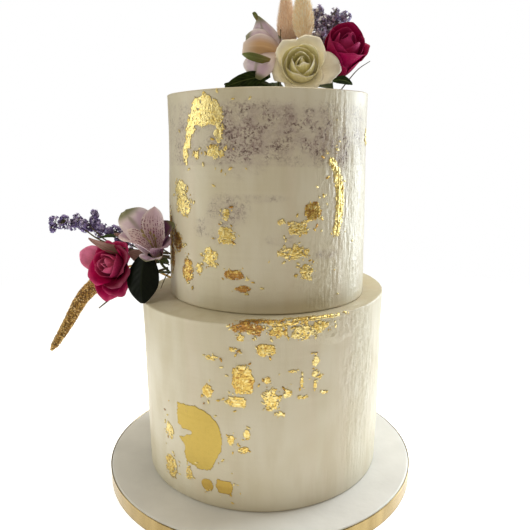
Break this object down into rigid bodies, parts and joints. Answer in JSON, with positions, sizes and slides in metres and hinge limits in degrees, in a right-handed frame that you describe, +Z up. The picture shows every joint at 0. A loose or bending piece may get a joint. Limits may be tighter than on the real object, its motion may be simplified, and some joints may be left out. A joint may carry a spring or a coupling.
{
  "type": "wedding cake",
  "caption": "Tall tiered wedding cake in pale buttercream with torn gold leaf, fresh roses, lilies and dried grasses, on a round white drum edged with gold ribbon.",
  "frame": {"origin": "middle of the drum's flat underside, which is where the cake stands", "axes": "+Z up; -Y is the front, with the gold leaf and the faces of the flowers; +X is to the right seen from the front, so the side flowers point to -X"},
  "size_m": [0.3359, 0.2823, 0.4173],
  "materials": {
    "drum": "satin white covering",
    "ribbon": "gold satin",
    "buttercream": "scraped buttercream with gold leaf",
    "white_petal": "soft matte petal",
    "magenta_petal": "velvety matte petal",
    "pink_petal": "velvety matte petal",
    "lilac_petal": "soft matte petal",
    "bunny_tail": "downy dried grass",
    "sea_lavender": "papery dried flowers",
    "millet": "dried seed head",
    "leaf": "waxy leaf"
  },
  "bodies": {
    "root": {"cake_drum": "drum", "drum_ribbon": "ribbon", "bottom_tier": "buttercream", "top_tier": "buttercream", "white_rose": "white_petal", "magenta_rose": "magenta_petal", "pink_rose": "pink_petal", "lily_top": "lilac_petal", "lily_side": "lilac_petal", "bunny_tail_left": "bunny_tail", "bunny_tail_right": "bunny_tail", "sea_lavender_top": "sea_lavender", "sea_lavender_side": "sea_lavender", "millet_spike": "millet", "leaf_top_left": "leaf", "leaf_top_left_back": "leaf", "leaf_top_right": "leaf", "leaf_top_back": "leaf", "leaf_top_back_left": "leaf", "leaf_side_dark": "leaf", "leaf_side_back": "leaf", "leaf_side_upper": "leaf"}
  },
  "joints": []
}
